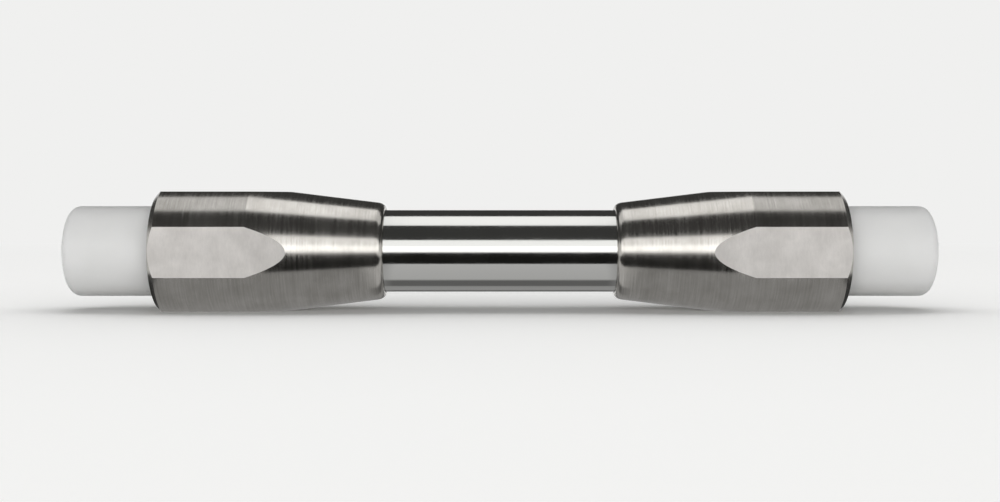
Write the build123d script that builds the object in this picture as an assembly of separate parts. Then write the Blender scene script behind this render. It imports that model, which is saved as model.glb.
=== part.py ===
from build123d import *
from math import cos, pi, radians, sin, tan
import os

# High-performance liquid chromatography column, in millimetres.
# It lies along X with its middle at the origin and +Z up. The inlet is at -X, the outlet at +X.
# Each end has the same pieces. They are made at the outlet and turned half round for the inlet.

# Tube, with a fine metric thread outside at both ends
tube_length = 50.0
tube_diameter = 8.0
tube_bore = 4.6
tube_thread_length = 9.5
tube_thread_pitch = 0.75
tube_end_chamfer = 0.3

# End nut, turned from round bar and milled square for the spanner
nut_length = 21.9
nut_bar_diameter = 12.45
nut_across_flats = 11.5
nut_straight_length = 9.1
nut_mouth_wall = 0.7
nut_end_chamfer = 0.55
nut_lip_length = 0.9
nut_lip_wall = 0.1

# Frit in its ring, and the sealing ring on it
frit_thickness = 0.8
frit_rim = 0.5
sealing_ring_thickness = 0.5
sealing_ring_rim = 0.1

# Fitting adapter, held down by its flange
flange_thickness = 1.5
snout_diameter = 6.0
snout_recess = 0.2

# Port in the adapter: 10-32 UNF with a 40 degree cone for 1/16 inch capillary
port_thread_diameter = 4.826
port_thread_pitch = 25.4 / 32
port_thread_depth = 3.7
port_entry_chamfer = 0.3
port_cone_diameter = 3.2
port_cone_angle = 40.0
pilot_diameter = 1.6
pilot_depth = 0.5
flow_hole_diameter = 0.5
flow_hole_length = 0.6
spreader_rim = 0.4
spreader_depth = 0.15

# End plug, moulded in one piece
plug_head_diameter = 8.75
plug_head_length = 8.6
plug_head_round = 0.9
plug_root_chamfer = 0.2
plug_tip_diameter = 3.0
plug_tip_end_diameter = 1.7

# Clearances, each on the radius or along the axis
bed_clearance = 0.01
frit_clearance = 0.01
seal_clearance = 0.05
snout_clearance = 0.05
mouth_clearance = 0.05
tube_thread_clearance = 0.05
port_thread_clearance = 0.03
thread_run_out = 0.3
stem_end_clearance = 0.3
plug_tip_clearance = 0.05

# Threads are drawn as plain cylinders at their pitch diameter. These are the shares of the pitch
# by which the pitch and the minor diameter lie inside the major one, on a 60 degree thread.
PITCH_DIAMETER_DROP = 0.6495
MINOR_DIAMETER_DROP = 1.0825

# Diameters that follow from the fits
tube_thread_cylinder = tube_diameter - PITCH_DIAMETER_DROP * tube_thread_pitch
nut_thread_bore = tube_thread_cylinder + 2 * tube_thread_clearance
nut_mouth_bore = tube_diameter + 2 * mouth_clearance
nut_mouth_diameter = nut_mouth_bore + 2 * nut_mouth_wall
nut_lip_depth = nut_mouth_wall - nut_lip_wall
nut_seal_bore = tube_diameter - MINOR_DIAMETER_DROP * tube_thread_pitch
nut_snout_hole = snout_diameter + 2 * snout_clearance
seal_diameter = nut_seal_bore - 2 * seal_clearance
frit_diameter = tube_bore + 2 * frit_rim
sealing_ring_bore = tube_bore + 2 * sealing_ring_rim
spreader_diameter = tube_bore - 2 * spreader_rim
plug_stem_diameter = port_thread_diameter - PITCH_DIAMETER_DROP * port_thread_pitch
port_bore = plug_stem_diameter + 2 * port_thread_clearance

# Places along the axis at the outlet, from the middle outwards
cone_slope = tan(radians(port_cone_angle / 2))
tube_end = tube_length / 2
thread_start = tube_end - tube_thread_length
frit_top = tube_end + frit_thickness
sealing_ring_top = frit_top + sealing_ring_thickness
flange_top = sealing_ring_top + flange_thickness
pilot_bottom = frit_top + flow_hole_length
cone_bottom = pilot_bottom + pilot_depth
cone_top = cone_bottom + (port_cone_diameter - pilot_diameter) / 2 / cone_slope
snout_end = cone_top + port_thread_depth
nut_face = snout_end + snout_recess
nut_mouth = nut_face - nut_length


def turned(outline):
    """Solid of revolution about X, from the (x, radius) corners of its half section."""
    return revolve(make_face(Polyline(*outline, close=True)), Axis.X)


def rounding(corner_x, corner_radius, length, depth):
    """(x, radius) points of a rounded outer corner, from the outside surface to the end face."""
    steps = 2
    angles = [step / steps * pi / 2 for step in range(steps + 1)]
    return [
        (corner_x - length * (1 - sin(angle)), corner_radius - depth * (1 - cos(angle)))
        for angle in angles
    ]


def column_tube():
    """Tube with its thread cylinder, start chamfer and 45 degree shoulder at each end."""
    thread_radius = tube_thread_cylinder / 2
    shoulder = tube_diameter / 2 - thread_radius
    outlet_half = [
        (thread_start - shoulder, tube_diameter / 2),
        (thread_start, thread_radius),
        (tube_end - tube_end_chamfer, thread_radius),
        (tube_end, thread_radius - tube_end_chamfer),
        (tube_end, tube_bore / 2),
    ]
    inlet_half = [(-x, radius) for x, radius in reversed(outlet_half)]
    return turned(outlet_half + inlet_half)


def packed_bed():
    """Packing that fills the bore from frit to frit."""
    radius = tube_bore / 2 - bed_clearance
    return turned([(-tube_end, 0), (-tube_end, radius), (tube_end, radius), (tube_end, 0)])


def frit():
    """Sintered disc that covers the bore."""
    radius = frit_diameter / 2
    return turned([(tube_end, 0), (tube_end, radius), (frit_top, radius), (frit_top, 0)])


def ring(bottom, top, bore):
    """Flat ring that fills the nut's seal bore."""
    outside = seal_diameter / 2
    inside = bore / 2
    return turned([(bottom, inside), (bottom, outside), (top, outside), (top, inside)])


def frit_ring():
    return ring(tube_end, frit_top, frit_diameter + 2 * frit_clearance)


def sealing_ring():
    return ring(frit_top, sealing_ring_top, sealing_ring_bore)


def fitting_adapter():
    """Nose through the sealing ring, flange, and snout with the port bored into it."""
    nose_radius = sealing_ring_bore / 2 - seal_clearance
    return turned([
        (frit_top + spreader_depth, flow_hole_diameter / 2),
        (frit_top, spreader_diameter / 2),
        (frit_top, nose_radius),
        (sealing_ring_top, nose_radius),
        (sealing_ring_top, seal_diameter / 2),
        (flange_top, seal_diameter / 2),
        (flange_top, snout_diameter / 2),
        (snout_end, snout_diameter / 2),
        (snout_end, port_bore / 2 + port_entry_chamfer),
        (snout_end - port_entry_chamfer, port_bore / 2),
        (cone_top, port_bore / 2),
        (cone_top, port_cone_diameter / 2),
        (cone_bottom, pilot_diameter / 2),
        (pilot_bottom, pilot_diameter / 2),
        (pilot_bottom, flow_hole_diameter / 2),
    ])


def end_nut():
    """Cylinder and long taper with a rounded lip, bored through, then cut to a square bar.

    The square cuts four flats on the cylinder and leaves the end of the taper round, so each
    flat runs out in a pointed arch where the taper meets it.
    """
    thread_top = tube_end + thread_run_out
    thread_bottom = thread_start + thread_run_out
    thread_lead = (nut_mouth_bore - nut_thread_bore) / 2
    lip = rounding(nut_mouth, nut_mouth_diameter / 2, -nut_lip_length, nut_lip_depth)
    body = turned([
        (nut_mouth, nut_mouth_bore / 2),
        *reversed(lip),
        (nut_face - nut_straight_length, nut_bar_diameter / 2),
        (nut_face - nut_end_chamfer, nut_bar_diameter / 2),
        (nut_face, nut_bar_diameter / 2 - nut_end_chamfer),
        (nut_face, nut_snout_hole / 2),
        (flange_top, nut_snout_hole / 2),
        (flange_top, nut_seal_bore / 2),
        (thread_top, nut_seal_bore / 2),
        (thread_top, nut_thread_bore / 2),
        (thread_bottom + thread_lead, nut_thread_bore / 2),
        (thread_bottom, nut_mouth_bore / 2),
    ])
    square_bar = Box(nut_length, nut_across_flats, nut_across_flats)
    return body & Pos((nut_mouth + nut_face) / 2, 0, 0) * square_bar


def end_plug():
    """Head with a rounded end, stem in the port's thread and sealing tip in the port's cone."""
    head_radius = plug_head_diameter / 2
    head_end = nut_face + plug_head_length
    stem_end = cone_top + stem_end_clearance
    tip_seat = cone_top - (port_cone_diameter - plug_tip_diameter) / 2 / cone_slope
    tip_start = tip_seat + plug_tip_clearance
    tip_end = tip_start - (plug_tip_diameter - plug_tip_end_diameter) / 2 / cone_slope
    return turned([
        (tip_end, 0),
        (tip_end, plug_tip_end_diameter / 2),
        (tip_start, plug_tip_diameter / 2),
        (stem_end, plug_tip_diameter / 2),
        (stem_end, plug_stem_diameter / 2),
        (nut_face, plug_stem_diameter / 2),
        (nut_face, head_radius - plug_root_chamfer),
        (nut_face + plug_root_chamfer, head_radius),
        *rounding(head_end, head_radius, plug_head_round, plug_head_round),
        (head_end, 0),
    ])


os.makedirs("parts", exist_ok=True)

export_step(column_tube(), "parts/column_tube.step")
export_step(packed_bed(), "parts/packed_bed.step")

for make_piece in (frit, frit_ring, sealing_ring, fitting_adapter, end_nut, end_plug):
    outlet_piece = make_piece()
    inlet_piece = Rot(0, 0, 180) * outlet_piece
    export_step(outlet_piece, f"parts/outlet_{make_piece.__name__}.step")
    export_step(inlet_piece, f"parts/inlet_{make_piece.__name__}.step")
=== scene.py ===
from math import cos, pi, radians, sin, tan

import bpy
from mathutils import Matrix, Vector


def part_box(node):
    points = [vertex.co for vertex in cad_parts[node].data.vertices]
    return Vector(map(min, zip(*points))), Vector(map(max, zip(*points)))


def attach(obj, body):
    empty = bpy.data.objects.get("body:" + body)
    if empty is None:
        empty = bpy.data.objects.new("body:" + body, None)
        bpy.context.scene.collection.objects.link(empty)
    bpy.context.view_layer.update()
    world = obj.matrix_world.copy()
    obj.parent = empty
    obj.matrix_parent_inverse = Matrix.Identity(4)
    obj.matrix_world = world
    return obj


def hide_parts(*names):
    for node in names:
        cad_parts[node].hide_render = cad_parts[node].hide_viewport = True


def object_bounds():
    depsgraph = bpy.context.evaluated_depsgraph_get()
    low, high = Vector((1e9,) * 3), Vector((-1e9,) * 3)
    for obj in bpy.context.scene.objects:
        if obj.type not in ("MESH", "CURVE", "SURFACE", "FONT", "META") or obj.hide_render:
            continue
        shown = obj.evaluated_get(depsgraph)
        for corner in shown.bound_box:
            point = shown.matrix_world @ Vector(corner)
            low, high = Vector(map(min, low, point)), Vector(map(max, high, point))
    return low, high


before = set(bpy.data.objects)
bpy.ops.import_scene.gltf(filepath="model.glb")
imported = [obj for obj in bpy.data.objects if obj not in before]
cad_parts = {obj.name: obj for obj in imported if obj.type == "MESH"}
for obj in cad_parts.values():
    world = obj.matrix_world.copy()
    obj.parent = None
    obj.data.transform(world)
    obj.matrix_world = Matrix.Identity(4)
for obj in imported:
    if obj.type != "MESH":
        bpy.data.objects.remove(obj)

cad_box = [list(corner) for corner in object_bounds()]
MM = 0.001


# Column tube
# Drawn stainless steel tube, ground and polished outside, with a fine metric thread cut on each
# end for the nuts. It carries every other piece.

TUBE_BORE = 4.6 * MM
TUBE_CHAMFER = 0.45 * MM
TUBE_THREAD_LENGTH = 9.5 * MM
TUBE_THREAD_PITCH = 0.75 * MM
TUBE_THREAD_PLAY = 0.01 * MM      # on the radius, from the ground surface down to the crests
TUBE_SHOULDER = 0.6 * MM          # the slope on which the thread runs out
TURN_STEPS = 256                  # facets round a turned piece
MERGE = 0.0005 * MM               # points of a new mesh that lie closer are one
WELD = 0.0001 * MM                # closes the hair-fine slivers that a boolean leaves
SHARP_EDGE = radians(5)           # edges of a turned piece that stay crisp
SHARP_THREAD = radians(20)        # the same on a threaded piece, whose facets are coarser
THREAD_STEPS = 96                 # facets round one turn of a thread
THREAD_DEPTH = 0.5413             # share of the pitch, from crest to root of a 60 degree thread
THREAD_FLANK = 0.3125             # share of the pitch that each flank takes along the axis


def turned(name, stations):
    """A turned piece about X: a ring at the first (x, radius) station, extruded through the rest.

    Stations that come back to the first one make a ring-shaped piece. Otherwise both ends are
    closed with a flat face.
    """
    x, radius = stations[0]
    bpy.ops.object.select_all(action="DESELECT")
    bpy.ops.mesh.primitive_circle_add(
        vertices=TURN_STEPS, radius=radius, location=(x, 0, 0), rotation=(0, pi / 2, 0))
    bpy.ops.object.transform_apply(location=True, rotation=True)
    piece = bpy.context.object
    piece.name = piece.data.name = name
    bpy.ops.object.mode_set(mode="EDIT")
    for next_x, next_radius in stations[1:]:
        share = next_radius / radius
        bpy.ops.mesh.extrude_region_move(TRANSFORM_OT_translate={"value": (next_x - x, 0, 0)})
        bpy.ops.transform.resize(value=(1, share, share), center_override=(next_x, 0, 0))
        x, radius = next_x, next_radius
    bpy.ops.mesh.select_all(action="SELECT")
    bpy.ops.mesh.remove_doubles(threshold=MERGE)
    bpy.ops.mesh.fill_holes(sides=0)
    bpy.ops.mesh.normals_make_consistent(inside=False)
    bpy.ops.object.mode_set(mode="OBJECT")
    bpy.ops.object.shade_smooth_by_angle(angle=SHARP_EDGE)
    return piece


def thread_rod(name, start, end, diameter, pitch):
    """A rod with a right-handed thread, from x = start to x = end, to cut or to make a thread.

    One pitch of the profile is extruded from a single point and swept by a Screw modifier. Then
    the ends are cut square and closed.
    """
    depth = THREAD_DEPTH * pitch
    flank = THREAD_FLANK * pitch
    flat = (pitch - 2 * flank) / 3
    profile = [(flat, 0), (flank, depth), (flat, 0), (flank, -depth), (flat, 0)]
    first = (int(start / pitch) - 2) * pitch
    bpy.ops.object.select_all(action="DESELECT")
    bpy.ops.mesh.primitive_plane_add(size=pitch, location=(first, 0, diameter / 2 - depth))
    bpy.ops.object.transform_apply(location=True)
    rod = bpy.context.object
    rod.name = rod.data.name = name
    bpy.ops.object.mode_set(mode="EDIT")
    bpy.ops.mesh.merge(type="CENTER")
    for along, outward in profile:
        bpy.ops.mesh.extrude_region_move(TRANSFORM_OT_translate={"value": (along, 0, outward)})
    bpy.ops.object.mode_set(mode="OBJECT")
    screw = rod.modifiers.new("helix", "SCREW")
    screw.axis = "X"
    screw.screw_offset = pitch
    screw.iterations = int((end - start) / pitch) + 5
    screw.steps = screw.render_steps = THREAD_STEPS
    bpy.ops.object.modifier_apply(modifier=screw.name)
    bpy.ops.object.mode_set(mode="EDIT")
    bpy.ops.mesh.select_all(action="SELECT")
    bpy.ops.mesh.remove_doubles(threshold=MERGE)
    for cut, outward in ((start, -1), (end, 1)):
        bpy.ops.mesh.select_all(action="SELECT")
        bpy.ops.mesh.bisect(
            plane_co=(cut, 0, 0), plane_no=(outward, 0, 0), clear_outer=True, threshold=MERGE)
    bpy.ops.mesh.select_all(action="SELECT")
    bpy.ops.mesh.fill_holes(sides=0)
    bpy.ops.mesh.normals_make_consistent(inside=False)
    bpy.ops.object.mode_set(mode="OBJECT")
    return rod


def combine(piece, operation, tool):
    """Joins a tool to a piece, cuts it out or keeps what both share, and removes the tool.

    The piece is left selected and active.
    """
    bpy.ops.object.select_all(action="DESELECT")
    piece.select_set(True)
    bpy.context.view_layer.objects.active = piece
    boolean = piece.modifiers.new(operation.lower(), "BOOLEAN")
    boolean.operation = operation
    boolean.solver = "EXACT"
    boolean.object = tool
    bpy.ops.object.modifier_apply(modifier=boolean.name)
    bpy.data.objects.remove(tool, do_unlink=True)
    bpy.ops.object.mode_set(mode="EDIT")
    bpy.ops.mesh.select_all(action="SELECT")
    bpy.ops.mesh.remove_doubles(threshold=WELD)
    bpy.ops.object.mode_set(mode="OBJECT")


def turn_round(piece, name):
    """A copy of an outlet piece with its own mesh, turned half round to the inlet."""
    bpy.ops.object.select_all(action="DESELECT")
    piece.select_set(True)
    bpy.context.view_layer.objects.active = piece
    bpy.ops.object.duplicate()
    copy = bpy.context.object
    copy.name = copy.data.name = name
    copy.rotation_euler.z = pi
    bpy.ops.object.transform_apply(rotation=True)
    return copy


def linear(hex_code):
    """Linear colour with full alpha from an sRGB hex code."""
    shares = [int(hex_code[place:place + 2], 16) / 255 for place in (1, 3, 5)]
    return (*[s / 12.92 if s <= 0.04045 else ((s + 0.055) / 1.055) ** 2.4 for s in shares], 1)


def add_node(tree, kind, inputs=None, **settings):
    """Adds a node. An input is named or numbered, and is given a value, a socket, or a node.

    A node stands for the first output that it shows.
    """
    new = tree.nodes.new(kind)
    for name, value in settings.items():
        setattr(new, name, value)
    for name, value in (inputs or {}).items():
        if isinstance(name, int):
            socket = new.inputs[name]
        else:
            socket = next(each for each in new.inputs if each.enabled and each.name == name)
        if isinstance(value, bpy.types.Node):
            value = next(output for output in value.outputs if output.enabled)
        if isinstance(value, bpy.types.NodeSocket):
            tree.links.new(value, socket)
        else:
            socket.default_value = value
    return new


def new_material(name):
    """An empty node material, its node tree, and the Object coordinates that patterns start from."""
    made = bpy.data.materials.new(name)
    made.use_nodes = True
    made.node_tree.nodes.clear()
    return made, made.node_tree, add_node(made.node_tree, "ShaderNodeTexCoord").outputs["Object"]


# Ground stainless steel, polished along with the wheel. It mirrors the room in clean bands, and
# only hair-fine rings from the wheel and a faint haze in the shine tell it from chrome.
GRINDING_RING = 0.12 * MM         # coarser than real, so that it shows
GRINDING_STREAK = 6.67 * MM       # how far a ring runs round before it fades
GRINDING_HEIGHT = 0.0004 * MM
GRINDING_HAZE = 3 * MM
ground_steel, tree, place = new_material("ground_stainless_steel")
rings = add_node(tree, "ShaderNodeMapping", {
    "Vector": place, "Scale": (1 / GRINDING_RING, 1 / GRINDING_STREAK, 1 / GRINDING_STREAK)})
ring_noise = add_node(tree, "ShaderNodeTexNoise", {"Vector": rings, "Scale": 1.0, "Detail": 3.0})
haze = add_node(tree, "ShaderNodeTexNoise", {"Vector": place, "Scale": 1 / GRINDING_HAZE, "Detail": 4.0})
shine = add_node(tree, "ShaderNodeMapRange", {
    "Value": haze, "From Min": 0.3, "From Max": 0.7, "To Min": 0.09, "To Max": 0.14})
relief = add_node(tree, "ShaderNodeBump", {"Height": ring_noise, "Distance": GRINDING_HEIGHT})
surface = add_node(tree, "ShaderNodeBsdfPrincipled", {
    "Base Color": linear("#CDCDCA"), "Metallic": 1.0, "Roughness": shine, "Normal": relief})
add_node(tree, "ShaderNodeOutputMaterial", {"Surface": surface})

tube_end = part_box("column_tube")[1].x
tube_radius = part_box("column_tube")[1].z
thread_start = tube_end - TUBE_THREAD_LENGTH
thread_root = tube_radius - THREAD_DEPTH * TUBE_THREAD_PITCH
tube = turned("polished_tube", [
    (-tube_end, TUBE_BORE / 2),
    (-tube_end, tube_radius - TUBE_CHAMFER),
    (-tube_end + TUBE_CHAMFER, tube_radius),
    (tube_end - TUBE_CHAMFER, tube_radius),
    (tube_end, tube_radius - TUBE_CHAMFER),
    (tube_end, TUBE_BORE / 2),
    (-tube_end, TUBE_BORE / 2),
])

# What the tube shares with the die is the threaded tube: the die has the threads at its ends, and
# more than the tube's width between them.
die = turned("die", [
    (-thread_start, thread_root),
    (-thread_start + TUBE_SHOULDER, thread_root + TUBE_SHOULDER),
    (thread_start - TUBE_SHOULDER, thread_root + TUBE_SHOULDER),
    (thread_start, thread_root),
])
outlet_thread = thread_rod(
    "outlet_thread", thread_start - TUBE_SHOULDER, tube_end + TUBE_THREAD_PITCH,
    2 * (tube_radius - TUBE_THREAD_PLAY), TUBE_THREAD_PITCH)
inlet_thread = turn_round(outlet_thread, "inlet_thread")
combine(die, "UNION", outlet_thread)
combine(die, "UNION", inlet_thread)
combine(tube, "INTERSECT", die)
bpy.ops.object.shade_smooth_by_angle(angle=SHARP_THREAD)
tube.data.materials.append(ground_steel)
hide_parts("column_tube")
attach(tube, "column")


# Packed bed
# Fine silica powder, slurry-packed into the bore under pressure until it is as firm as chalk.
# The frits at both ends keep it in.

POWDER_GRAIN = 0.08 * MM          # real grains are some 5 micrometres, too fine to show
POWDER_RELIEF = 0.01 * MM


def finish_node(name, finish):
    """Gives a piece of the frame its finish."""
    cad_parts[name].material_slots[0].material = finish


# Packed silica is dead white with the faintest warm speckle, and has no shine at all.
packing, tree, place = new_material("packed_silica")
grains = add_node(tree, "ShaderNodeTexNoise", {"Vector": place, "Scale": 1 / POWDER_GRAIN, "Detail": 2.0})
tint = add_node(tree, "ShaderNodeMix", {
    "Factor": grains, "A": linear("#E6E4DE"), "B": linear("#F7F6F2")}, data_type="RGBA")
relief = add_node(tree, "ShaderNodeBump", {"Height": grains, "Strength": 0.6, "Distance": POWDER_RELIEF})
surface = add_node(tree, "ShaderNodeBsdfPrincipled", {
    "Base Color": tint, "Roughness": 0.9, "Normal": relief})
add_node(tree, "ShaderNodeOutputMaterial", {"Surface": surface})
finish_node("packed_bed", packing)


# Frits
# Discs of sintered stainless steel powder that let the solvent through and hold the packing
# back. Each is pressed into its ring.

SINTER_GRAIN = 0.12 * MM          # real grains are some 20 micrometres, too fine to show
SINTER_RELIEF = 0.02 * MM

# Sintered steel is grey and sugary: rounded grains with dark pores between them.
sintered_steel, tree, place = new_material("sintered_stainless_steel")
grains = add_node(tree, "ShaderNodeTexVoronoi", {"Vector": place, "Scale": 1 / SINTER_GRAIN})
tint = add_node(tree, "ShaderNodeMix", {
    "Factor": grains, "A": linear("#A8A5A0"), "B": linear("#6E6B67")}, data_type="RGBA")
relief = add_node(tree, "ShaderNodeBump", {"Height": grains, "Distance": SINTER_RELIEF}, invert=True)
surface = add_node(tree, "ShaderNodeBsdfPrincipled", {
    "Base Color": tint, "Metallic": 1.0, "Roughness": 0.55, "Normal": relief})
add_node(tree, "ShaderNodeOutputMaterial", {"Surface": surface})
for end in ("inlet", "outlet"):
    finish_node(f"{end}_frit", sintered_steel)


# Frit rings
# Rings turned from natural PEEK, a hard beige plastic. They seal the frit between the end of the
# tube and the next ring.

PEEK_MOTTLE = 0.8 * MM

# Natural PEEK is an opaque, slightly mottled beige with a low sheen.
peek, tree, place = new_material("natural_peek")
mottle = add_node(tree, "ShaderNodeTexNoise", {"Vector": place, "Scale": 1 / PEEK_MOTTLE, "Detail": 3.0})
tint = add_node(tree, "ShaderNodeMix", {
    "Factor": mottle, "A": linear("#C2A77E"), "B": linear("#CDB48C")}, data_type="RGBA")
surface = add_node(tree, "ShaderNodeBsdfPrincipled", {
    "Base Color": tint, "Roughness": 0.45, "IOR": 1.67})
add_node(tree, "ShaderNodeOutputMaterial", {"Surface": surface})
for end in ("inlet", "outlet"):
    finish_node(f"{end}_frit_ring", peek)


# Sealing rings
# Washers cut from PTFE, white and waxy. They creep into every scratch of the steel when the nut
# is drawn up, and seal the adapter.

PTFE_CLOUD = 0.5 * MM

# PTFE is white with faint grey clouds, and its low index gives it hardly any highlight.
ptfe, tree, place = new_material("white_ptfe")
cloud = add_node(tree, "ShaderNodeTexNoise", {"Vector": place, "Scale": 1 / PTFE_CLOUD, "Detail": 3.0})
tint = add_node(tree, "ShaderNodeMix", {
    "Factor": cloud, "A": linear("#EDEDEA"), "B": linear("#F6F6F4")}, data_type="RGBA")
surface = add_node(tree, "ShaderNodeBsdfPrincipled", {
    "Base Color": tint, "Roughness": 0.5, "IOR": 1.35})
add_node(tree, "ShaderNodeOutputMaterial", {"Surface": surface})
for end in ("inlet", "outlet"):
    finish_node(f"{end}_sealing_ring", ptfe)


# Fitting adapters
# Turned stainless steel. The nut presses the flange on the seals, the nose reaches through the
# sealing ring to the frit, and the snout holds the tapped port for the capillary.

PORT_THREAD = 4.826 * MM
PORT_PITCH = 25.4 / 32 * MM
PORT_THREAD_PLAY = 0.02 * MM      # on the radius, each for the port and the plug
THREAD_ROOT_FILL = 0.01 * MM      # keeps a plain bore or stem off the roots of its thread rod
PORT_THREAD_DEPTH = 3.7 * MM
PORT_CONE_WIDTH = 3.2 * MM
PORT_CONE_SLOPE = tan(radians(20))
PORT_ENTRY = 0.3 * MM
PILOT_WIDTH = 1.6 * MM
PILOT_DEPTH = 0.5 * MM
FLOW_HOLE = 0.5 * MM
SPREADER_WIDTH = 3.8 * MM
SPREADER_DEPTH = 0.15 * MM
NOSE_WIDTH = 4.7 * MM
NOSE_LENGTH = 0.5 * MM
FLANGE_THICKNESS = 1.5 * MM
SNOUT_WIDTH = 6.0 * MM
LATHE_RING = 0.16 * MM            # feed marks, coarser than real, so that they show
LATHE_STREAK = 5 * MM             # how far a mark runs round before it fades
LATHE_CLOUD = 2.5 * MM            # handling clouds that drift over the rings
LATHE_HEIGHT = 0.0009 * MM

# Turned stainless steel. The tool leaves fine rings at its feed, some deeper than others, which
# break the bright bands into short upright streaks. It is hazier and warmer than the ground tube.
turned_steel, tree, place = new_material("turned_stainless_steel")
rings = add_node(tree, "ShaderNodeMapping", {
    "Vector": place, "Scale": (1 / LATHE_RING, 1 / LATHE_STREAK, 1 / LATHE_STREAK)})
marks = add_node(tree, "ShaderNodeTexNoise", {
    "Vector": rings, "Scale": 1.0, "Detail": 4.0, "Roughness": 0.65})
shine = add_node(tree, "ShaderNodeMapRange", {
    "Value": marks, "From Min": 0.35, "From Max": 0.65, "To Min": 0.15, "To Max": 0.24})
cloud = add_node(tree, "ShaderNodeTexNoise", {"Vector": place, "Scale": 1 / LATHE_CLOUD, "Detail": 3.0})
worn = add_node(tree, "ShaderNodeMath", {0: marks, 1: cloud}, operation="ADD")
worn = add_node(tree, "ShaderNodeMapRange", {"Value": worn, "From Min": 0.7, "From Max": 1.3})
tint = add_node(tree, "ShaderNodeMix", {
    "Factor": worn, "A": linear("#B0ADA7"), "B": linear("#CDCAC5")}, data_type="RGBA")
relief = add_node(tree, "ShaderNodeBump", {"Height": marks, "Distance": LATHE_HEIGHT})
surface = add_node(tree, "ShaderNodeBsdfPrincipled", {
    "Base Color": tint, "Metallic": 1.0, "Roughness": shine, "Normal": relief})
add_node(tree, "ShaderNodeOutputMaterial", {"Surface": surface})

nose_end, snout_end = (corner.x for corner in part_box("outlet_fitting_adapter"))
seal_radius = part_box("outlet_fitting_adapter")[1].z
flange_bottom = nose_end + NOSE_LENGTH
flange_top = flange_bottom + FLANGE_THICKNESS
cone_top = snout_end - PORT_THREAD_DEPTH
cone_bottom = cone_top - (PORT_CONE_WIDTH - PILOT_WIDTH) / 2 / PORT_CONE_SLOPE
port_minor = PORT_THREAD / 2 + PORT_THREAD_PLAY - THREAD_DEPTH * PORT_PITCH + THREAD_ROOT_FILL

adapter = turned("outlet_adapter", [
    (nose_end + SPREADER_DEPTH, FLOW_HOLE / 2),
    (nose_end, SPREADER_WIDTH / 2),
    (nose_end, NOSE_WIDTH / 2),
    (flange_bottom, NOSE_WIDTH / 2),
    (flange_bottom, seal_radius),
    (flange_top, seal_radius),
    (flange_top, SNOUT_WIDTH / 2),
    (snout_end, SNOUT_WIDTH / 2),
    (snout_end, port_minor + 2 * PORT_ENTRY),
    (snout_end - 2 * PORT_ENTRY, port_minor),
    (cone_top, port_minor),
    (cone_top, PORT_CONE_WIDTH / 2),
    (cone_bottom, PILOT_WIDTH / 2),
    (cone_bottom - PILOT_DEPTH, PILOT_WIDTH / 2),
    (cone_bottom - PILOT_DEPTH, FLOW_HOLE / 2),
    (nose_end + SPREADER_DEPTH, FLOW_HOLE / 2),
])
tap = thread_rod(
    "tap", cone_top + PORT_PITCH / 2, snout_end + PORT_PITCH, PORT_THREAD + 2 * PORT_THREAD_PLAY,
    PORT_PITCH)
combine(adapter, "DIFFERENCE", tap)
bpy.ops.object.shade_smooth_by_angle(angle=SHARP_THREAD)
adapter.data.materials.append(turned_steel)
for piece in (adapter, turn_round(adapter, "inlet_adapter")):
    end = piece.name.split("_")[0]
    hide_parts(f"{end}_fitting_adapter")
    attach(piece, "column")


# End nuts
# Turned from stainless bar, with a long taper towards the tube, then milled with four flats for
# the spanner. Each is screwed on the tube and holds the adapter down. The flats are matt.

NUT_STRAIGHT = 9.1 * MM
NUT_MOUTH_WALL = 0.7 * MM
NUT_MOUTH_PLAY = 0.05 * MM
NUT_LIP_LENGTH = 0.9 * MM
NUT_LIP_WALL = 0.1 * MM
NUT_LIP_STEPS = 9
NUT_END_CHAMFER = 0.55 * MM
NUT_SEAL_PLAY = 0.05 * MM
NUT_RUN_OUT = 0.3 * MM
NUT_THREAD_LEAD = 0.4 * MM
NUT_HOLE_PLAY = 0.05 * MM
NUT_FLAT_HALF_STEPS = 16          # turning steps from the middle of a flat to its edge
MILL_MARK_WIDTH = 0.25 * MM       # a cutter mark along the nut
MILL_MARK_LENGTH = 0.83 * MM      # and across it
MILL_CLOUD = 1.6 * MM
MILL_HEIGHT = 0.0012 * MM

# Milled stainless steel. The cutter leaves a fine even satin that scatters the light, so the flats
# are pale and show no band, only a faint cloudiness.
milled_steel, tree, place = new_material("milled_stainless_steel")
strokes = add_node(tree, "ShaderNodeMapping", {
    "Vector": place,
    "Scale": (1 / MILL_MARK_WIDTH, 1 / MILL_MARK_LENGTH, 1 / MILL_MARK_LENGTH)})
marks = add_node(tree, "ShaderNodeTexNoise", {
    "Vector": strokes, "Scale": 1.0, "Detail": 5.0, "Roughness": 0.7})
cloud = add_node(tree, "ShaderNodeTexNoise", {"Vector": place, "Scale": 1 / MILL_CLOUD, "Detail": 4.0})
worn = add_node(tree, "ShaderNodeMath", {0: marks, 1: cloud}, operation="ADD")
worn = add_node(tree, "ShaderNodeMapRange", {"Value": worn, "From Min": 0.7, "From Max": 1.3})
tint = add_node(tree, "ShaderNodeMix", {
    "Factor": worn, "A": linear("#CDCAC7"), "B": linear("#E2DFDC")}, data_type="RGBA")
shine = add_node(tree, "ShaderNodeMapRange", {
    "Value": marks, "From Min": 0.3, "From Max": 0.7, "To Min": 0.6, "To Max": 0.7})
relief = add_node(tree, "ShaderNodeBump", {"Height": marks, "Distance": MILL_HEIGHT})
surface = add_node(tree, "ShaderNodeBsdfPrincipled", {
    "Base Color": tint, "Metallic": 1.0, "Roughness": shine, "Normal": relief})
add_node(tree, "ShaderNodeOutputMaterial", {"Surface": surface})

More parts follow.
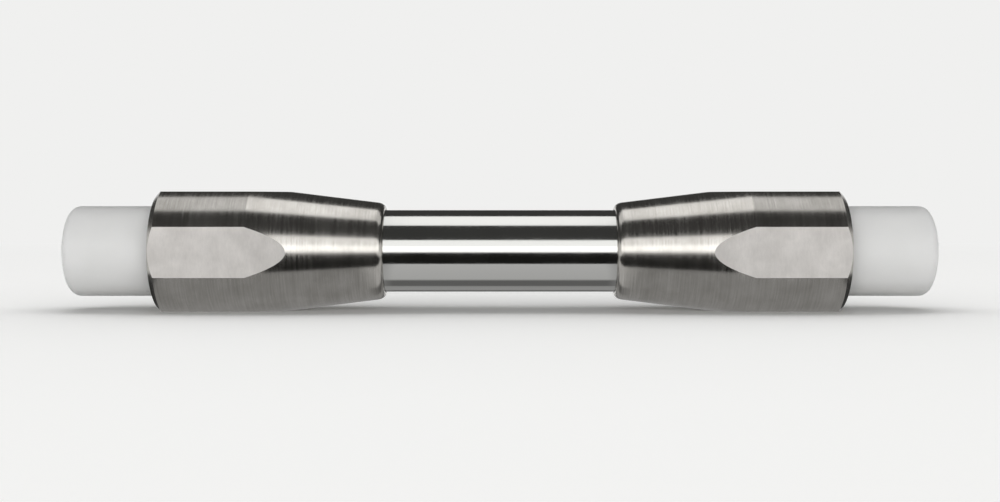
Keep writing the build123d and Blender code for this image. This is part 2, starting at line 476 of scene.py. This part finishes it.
nut_mouth, nut_face = (corner.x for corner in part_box("outlet_end_nut"))
half_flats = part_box("outlet_end_nut")[1].z
flat_step = 2 * pi / TURN_STEPS
nut_radius = half_flats / cos(NUT_FLAT_HALF_STEPS * flat_step)
mouth_bore = tube_radius + NUT_MOUTH_PLAY
mouth_radius = mouth_bore + NUT_MOUTH_WALL
seal_bore = seal_radius + NUT_SEAL_PLAY
snout_hole = SNOUT_WIDTH / 2 + NUT_HOLE_PLAY
nut_minor = mouth_bore - THREAD_DEPTH * TUBE_THREAD_PITCH
nut_thread_top = tube_end + NUT_RUN_OUT
nut_thread_bottom = thread_start + NUT_RUN_OUT + NUT_THREAD_LEAD
lip_depth = NUT_MOUTH_WALL - NUT_LIP_WALL
lip_angles = [step / NUT_LIP_STEPS * pi / 2 for step in range(NUT_LIP_STEPS, 0, -1)]
lip = [
    (nut_mouth + NUT_LIP_LENGTH * (1 - sin(angle)), mouth_radius - lip_depth * (1 - cos(angle)))
    for angle in lip_angles
]
taper_start, taper_radius = lip[-1]
taper_end = nut_face - NUT_STRAIGHT
taper_slope = (nut_radius - taper_radius) / (taper_end - taper_start)

# A flat meets the taper in an arch. A ring stands on the taper wherever the arch crosses a line of
# the turning, so that the cut runs from corner to corner and leaves no slivers.
arch_radii = [half_flats / cos(step * flat_step) for step in range(0, NUT_FLAT_HALF_STEPS, 2)]
arch_stations = [
    (taper_start + (radius - taper_radius) / taper_slope, radius) for radius in arch_radii
]

nut = turned("outlet_nut", [
    (nut_mouth, mouth_bore),
    *lip,
    *arch_stations,
    (taper_end, nut_radius),
    (nut_face - NUT_END_CHAMFER, nut_radius),
    (nut_face, nut_radius - NUT_END_CHAMFER),
    (nut_face, snout_hole),
    (flange_top, snout_hole),
    (flange_top, seal_bore),
    (nut_thread_top, seal_bore),
    (nut_thread_top, nut_minor),
    (nut_thread_bottom, nut_minor),
    (nut_thread_bottom - NUT_THREAD_LEAD, mouth_bore),
    (nut_mouth, mouth_bore),
])
bpy.ops.object.mode_set(mode="EDIT")
for normal in ((0, 1, 0), (0, -1, 0), (0, 0, 1), (0, 0, -1)):
    bpy.ops.mesh.select_all(action="SELECT")
    bpy.ops.mesh.bisect(
        plane_co=Vector(normal) * half_flats, plane_no=normal, use_fill=True, clear_outer=True,
        threshold=MERGE)
bpy.ops.mesh.select_all(action="SELECT")
bpy.ops.mesh.remove_doubles(threshold=MERGE)
bpy.ops.object.mode_set(mode="OBJECT")
nut_tap = thread_rod(
    "nut_tap", nut_thread_bottom - NUT_THREAD_LEAD / 2, nut_thread_top - NUT_RUN_OUT / 2,
    2 * mouth_bore, TUBE_THREAD_PITCH)
combine(nut, "DIFFERENCE", nut_tap)
bpy.ops.object.shade_smooth_by_angle(angle=SHARP_EDGE)
nut.data.materials.append(turned_steel)
nut.data.materials.append(milled_steel)

# The faces that lie in a flat, square to its axis, take the milled finish.
for face in nut.data.polygons:
    reach = max(abs(face.center.y), abs(face.center.z))
    square_on = max(abs(face.normal.y), abs(face.normal.z))
    if reach > half_flats - MERGE and square_on > cos(flat_step / 4):
        face.material_index = 1
for piece in (nut, turn_round(nut, "inlet_nut")):
    end = piece.name.split("_")[0]
    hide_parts(f"{end}_end_nut")
    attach(piece, "column")


# End plugs
# Moulded in one piece from white polyethylene: a plain round head to hold, and a threaded stem
# whose tapered tip closes the port. They keep the bed wet and clean in storage.

PLUG_STEM_GAP = 0.3 * MM
PLUG_TIP_WIDTH = 3.0 * MM
PLUG_TIP_END_WIDTH = 1.7 * MM
PLUG_TIP_GAP = 0.05 * MM
PLUG_ROUND = 0.9 * MM
PLUG_ROUND_STEPS = 12
PLUG_ROOT = 0.2 * MM
PLUG_GRAIN = 0.15 * MM
PLUG_GRAIN_HEIGHT = 0.002 * MM
PLUG_FLOW = 4 * MM                # clouds left by the melt
PLUG_GLOW = 3.5 * MM              # how far light spreads inside

# Polyethylene is white right through and lets a little light in, which softens its shading. The
# mould gives it a low satin with the faintest grain, and the melt leaves slight clouds.
polyethylene, tree, place = new_material("moulded_polyethylene")
flow = add_node(tree, "ShaderNodeTexNoise", {"Vector": place, "Scale": 1 / PLUG_FLOW, "Detail": 2.0})
grain = add_node(tree, "ShaderNodeTexNoise", {"Vector": place, "Scale": 1 / PLUG_GRAIN, "Detail": 3.0})
tint = add_node(tree, "ShaderNodeMix", {
    "Factor": flow, "A": linear("#E9E9E8"), "B": linear("#F0F0EF")}, data_type="RGBA")
shine = add_node(tree, "ShaderNodeMapRange", {
    "Value": grain, "From Min": 0.3, "From Max": 0.7, "To Min": 0.42, "To Max": 0.5})
relief = add_node(tree, "ShaderNodeBump", {
    "Height": grain, "Strength": 0.5, "Distance": PLUG_GRAIN_HEIGHT})
surface = add_node(tree, "ShaderNodeBsdfPrincipled", {
    "Base Color": tint, "Roughness": shine, "IOR": 1.51, "Normal": relief,
    "Subsurface Weight": 0.85, "Subsurface Radius": (1, 1, 1), "Subsurface Scale": PLUG_GLOW})
add_node(tree, "ShaderNodeOutputMaterial", {"Surface": surface})

plug_tip_end, plug_end = (corner.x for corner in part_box("outlet_end_plug"))
plug_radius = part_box("outlet_end_plug")[1].z
tip_start = cone_top - (PORT_CONE_WIDTH - PLUG_TIP_WIDTH) / 2 / PORT_CONE_SLOPE + PLUG_TIP_GAP
stem_end = cone_top + PLUG_STEM_GAP
stem_major = PORT_THREAD / 2 - PORT_THREAD_PLAY
stem_root = stem_major - THREAD_DEPTH * PORT_PITCH + THREAD_ROOT_FILL
round_angles = [step / PLUG_ROUND_STEPS * pi / 2 for step in range(PLUG_ROUND_STEPS + 1)]

plug = turned("outlet_plug_moulding", [
    (plug_tip_end, PLUG_TIP_END_WIDTH / 2),
    (tip_start, PLUG_TIP_WIDTH / 2),
    (stem_end, PLUG_TIP_WIDTH / 2),
    (stem_end, stem_root),
    (nut_face, stem_root),
    (nut_face, plug_radius - PLUG_ROOT),
    (nut_face + PLUG_ROOT, plug_radius),
    *[(plug_end - PLUG_ROUND * (1 - sin(angle)), plug_radius - PLUG_ROUND * (1 - cos(angle)))
      for angle in round_angles],
])
thread_end = stem_end + PORT_THREAD_PLAY
thread = thread_rod("plug_thread", thread_end, nut_face + PLUG_ROOT, 2 * stem_major, PORT_PITCH)

# The thread starts from nothing: it is what its rod shares with a cone at the end of the stem.
lead = turned("thread_lead", [
    (thread_end - PORT_ENTRY / 2, stem_root - PORT_ENTRY),
    (thread_end + THREAD_DEPTH * PORT_PITCH + PORT_ENTRY / 2, stem_major + PORT_ENTRY / 2),
    (nut_face + PORT_PITCH, stem_major + PORT_ENTRY / 2),
])
combine(thread, "INTERSECT", lead)
combine(plug, "UNION", thread)
bpy.ops.object.shade_smooth_by_angle(angle=SHARP_THREAD)
plug.data.materials.append(polyethylene)
for piece in (plug, turn_round(plug, "inlet_plug_moulding")):
    end = piece.name.split("_")[0]
    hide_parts(f"{end}_end_plug")
    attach(piece, f"{end}_plug")


# Floor
# A wide pale table that runs into the backdrop of the same tone. It holds the column's shadow, deepened
# near the column by painted shade.

FLOOR_RADIUS = 4000 * MM
FLOOR_GAP = 0.02 * MM             # keeps the lowest faces of the nuts clear of it
FADE_START = 90 * MM              # from here the floor turns into an even tone, as far as
FADE_END = 400 * MM
SKY_REACH = 60 * MM               # floor with nothing this near above it is open floor
# These two set the painted glow on open floor. Floor that the column shuts in gains less, which paints
# shade beside and under it.
PAINTED_SHADE_SHARE = 0.6                      # open share up to which the floor gains nothing
PAINTED_GLOW = 0.55                       # what open floor gains where it is seen
PALE = "#F0F0EF"

bpy.ops.object.select_all(action="DESELECT")
bpy.ops.mesh.primitive_circle_add(
    vertices=128, radius=FLOOR_RADIUS, fill_type="NGON", location=(0, 0, cad_box[0][2] - FLOOR_GAP))
bpy.ops.object.transform_apply(location=True)
floor = bpy.context.object
floor.name = floor.data.name = "floor"

# A pale laminate table. Near the column it is lit as it is, plus a painted glow that ambient
# occlusion holds back under and beside the column, which paints shade there. Farther off it turns
# into an even tone. That tone and the painted glow are for the eye and for reflections, and put no
# light on the column.
table_top, tree, place = new_material("pale_table")
reach = add_node(tree, "ShaderNodeVectorMath", {0: place}, operation="LENGTH")
fade = add_node(tree, "ShaderNodeMapRange", {
    "Value": reach.outputs["Value"], "From Min": FADE_START, "From Max": FADE_END},
    interpolation_type="SMOOTHSTEP")
matt = add_node(tree, "ShaderNodeBsdfDiffuse", {"Color": linear(PALE)})
# Ambient occlusion holds back the painted glow near the column, as painted shade.
sky = add_node(tree, "ShaderNodeAmbientOcclusion", {"Distance": SKY_REACH}, samples=8)
painted_glow_strength = add_node(tree, "ShaderNodeMapRange", {
    "Value": sky.outputs["AO"], "From Min": PAINTED_SHADE_SHARE, "From Max": 1.0, "To Min": 0.0, "To Max": PAINTED_GLOW})
painted_glow = add_node(tree, "ShaderNodeEmission", {"Color": linear(PALE), "Strength": painted_glow_strength})
near = add_node(tree, "ShaderNodeAddShader", {0: matt, 1: painted_glow})
plain = add_node(tree, "ShaderNodeEmission", {"Color": linear(PALE)})
far = add_node(tree, "ShaderNodeMixShader", {"Fac": fade, 1: near, 2: plain})
ray = add_node(tree, "ShaderNodeLightPath")
seen = add_node(tree, "ShaderNodeMath", {
    0: ray.outputs["Is Camera Ray"], 1: ray.outputs["Is Glossy Ray"]}, operation="MAXIMUM")
seen = add_node(tree, "ShaderNodeMath", {
    0: seen, 1: ray.outputs["Is Transmission Ray"]}, operation="MAXIMUM")
shown = add_node(tree, "ShaderNodeMixShader", {"Fac": seen, 1: matt, 2: far})
add_node(tree, "ShaderNodeOutputMaterial", {"Surface": shown})
floor.data.materials.append(table_top)


# Light
# Softboxes overhead and in front make the bright bands, and two low fills light the matt surfaces
# alone. A dark card before the column and a glowing sheet beneath it show in the steel alone. They
# draw the dark line and the grey below its bright middle. The sheet is a painted reflection of the
# floor, and its dark stripe is a painted shadow.

# The grey card is a glowing sheet, not paper. It gives the steel alone a painted reflection of the floor,
# painted shadow included.
CARD_NEAR = 10.5 * MM             # the grey card ends here and the dark one starts
CARD_FAR = 95 * MM
CARD_LENGTH = 44 * MM
UNDER_REACH = 46 * MM             # half the length of the grey card
# These tones are painted reflection, and the darker ones are painted shadow beneath the column.
PAINTED_REFLECTION_STRIPES = ((0.09, 0.37), (0.12, 0.16), (0.27, 0.16), (0.32, 0.56), (0.9, 0.62))
CARD_NUT = (10.5 * MM, 12.5 * MM)
NUT_PAINTED_SHADE_TONE = 0.34
CARD_PLUG = (33.0 * MM, 33.5 * MM)
PLUG_PAINTED_SHADOW_TONE = 0.05
HORIZON = radians(11)             # up to here the backdrop is pale
CEILING = radians(15)             # and from here the room is dark


def softbox(name, place, length, width, radiance):
    """A rectangular lamp that faces the column. The camera doesn't see it."""
    bpy.ops.object.light_add(type="AREA", location=place)
    lamp = bpy.context.object
    lamp.name = name
    lamp.rotation_euler = (-Vector(place)).to_track_quat("-Z", "Y").to_euler()
    lamp.data.shape = "RECTANGLE"
    lamp.data.size = length
    lamp.data.size_y = width
    lamp.data.energy = radiance * pi * length * width
    lamp.visible_camera = False
    return lamp


softbox("top_softbox", (0, 0.068, 0.7), length=1.4, width=0.476, radiance=0.8)
softbox("top_middle", (0, 0.068, 0.68), length=0.15, width=0.466, radiance=0.55)
softbox("front_softbox", (0, -0.758, 0.213), length=2.4, width=0.445, radiance=1.34)
front_fill = softbox("front_fill", (0, -0.7, 0.12), length=1.4, width=0.35, radiance=0.66)
back_fill = softbox("back_fill", (0, 0.7, 0.2), length=1.4, width=0.35, radiance=0.5)
for lamp in (front_fill, back_fill):
    lamp.visible_glossy = False

bpy.ops.object.select_all(action="DESELECT")
bpy.ops.mesh.primitive_plane_add(size=1, location=(0, -(CARD_NEAR + CARD_FAR) / 2, cad_box[0][2]))
card = bpy.context.object
card.name = card.data.name = "dark_card"
card.scale = (CARD_LENGTH, CARD_FAR - CARD_NEAR, 1)
bpy.ops.object.transform_apply(location=True, scale=True)
black_felt, tree, _ = new_material("black_felt")
surface = add_node(tree, "ShaderNodeBsdfDiffuse", {"Color": linear("#2C2C2A")})
add_node(tree, "ShaderNodeOutputMaterial", {"Surface": surface})
card.data.materials.append(black_felt)

bpy.ops.object.select_all(action="DESELECT")
bpy.ops.mesh.primitive_plane_add(size=1, location=(0, 0, cad_box[0][2] - FLOOR_GAP / 2))
painted_reflection_sheet = bpy.context.object
painted_reflection_sheet.name = painted_reflection_sheet.data.name = "grey_card"
painted_reflection_sheet.scale = (2 * UNDER_REACH, 2 * CARD_NEAR, 1)
bpy.ops.object.transform_apply(location=True, scale=True)

# A glowing sheet with stripes along the tube, each a tone at a share of the way out from the middle.
# It is a painted reflection of the floor, and its dark stripe is the painted shadow beneath the tube.
# It is a plain painted shade under the nuts and a nearly black painted shadow under the plugs.
grey_paper, tree, place = new_material("grey_paper")
where = add_node(tree, "ShaderNodeSeparateXYZ", {"Vector": place})
along = add_node(tree, "ShaderNodeMath", {0: where.outputs["X"]}, operation="ABSOLUTE")
across = add_node(tree, "ShaderNodeMath", {0: where.outputs["Y"], 1: CARD_NEAR}, operation="DIVIDE")
across = add_node(tree, "ShaderNodeMath", {0: across}, operation="ABSOLUTE")
stripes = add_node(tree, "ShaderNodeValToRGB", {"Fac": across})
for spot, tone in PAINTED_REFLECTION_STRIPES:
    stop = stripes.color_ramp.elements.new(spot)
    stop.color = (tone, tone, tone, 1)
stripes.color_ramp.elements.remove(stripes.color_ramp.elements[0])
stripes.color_ramp.elements.remove(stripes.color_ramp.elements[-1])
tone = stripes
for (start, end), grey in ((CARD_NUT, NUT_PAINTED_SHADE_TONE), (CARD_PLUG, PLUG_PAINTED_SHADOW_TONE)):
    past = add_node(tree, "ShaderNodeMapRange", {"Value": along, "From Min": start, "From Max": end})
    tone = add_node(tree, "ShaderNodeMix", {
        "Factor": past, "A": tone, "B": (grey, grey, grey, 1)}, data_type="RGBA")
# The sheet glows with its tones as a painted reflection. It is no lamp.
glow = add_node(tree, "ShaderNodeEmission", {"Color": tone})
add_node(tree, "ShaderNodeOutputMaterial", {"Surface": glow})
painted_reflection_sheet.data.materials.append(grey_paper)
for sheet in (card, painted_reflection_sheet):
    sheet.visible_camera = False
    sheet.visible_diffuse = False
    sheet.visible_shadow = False
    sheet.visible_transmission = False

room = bpy.data.worlds.new("room")
bpy.context.scene.world = room
room.use_nodes = True
room.node_tree.nodes.clear()
tree = room.node_tree
ways = add_node(tree, "ShaderNodeTexCoord")
way = add_node(tree, "ShaderNodeSeparateXYZ", {"Vector": ways.outputs["Generated"]})
dim = add_node(tree, "ShaderNodeMapRange", {
    "Value": way.outputs["Z"], "From Min": sin(HORIZON), "From Max": sin(CEILING)},
    interpolation_type="SMOOTHSTEP")
tone = add_node(tree, "ShaderNodeMix", {
    "Factor": dim, "A": linear(PALE), "B": linear("#40403F")}, data_type="RGBA")
glow = add_node(tree, "ShaderNodeBackground", {"Color": tone})
add_node(tree, "ShaderNodeOutputWorld", {"Surface": glow})


# Camera
# It stands nearly level with the column and looks at it square on, so near that the mouths and
# the faces of the nuts show their curve.

CAMERA_DISTANCE = 130 * MM
CAMERA_RISE = radians(1.4)
SENSOR_WIDTH = 36.0
FRAME_FILL = 0.853                # share of the picture's width that the column takes
CLIP_START = 10 * MM

bpy.ops.object.camera_add()
camera = bpy.context.object
camera.name = "camera"
camera.location = (0, -CAMERA_DISTANCE * cos(CAMERA_RISE), CAMERA_DISTANCE * sin(CAMERA_RISE))
camera.rotation_euler = (-camera.location).to_track_quat("-Z", "Y").to_euler()
camera.data.sensor_width = SENSOR_WIDTH
camera.data.lens = SENSOR_WIDTH * CAMERA_DISTANCE * FRAME_FILL / (cad_box[1][0] - cad_box[0][0])
camera.data.clip_start = CLIP_START
bpy.context.scene.camera = camera
bpy.context.scene.view_settings.view_transform = "Standard"
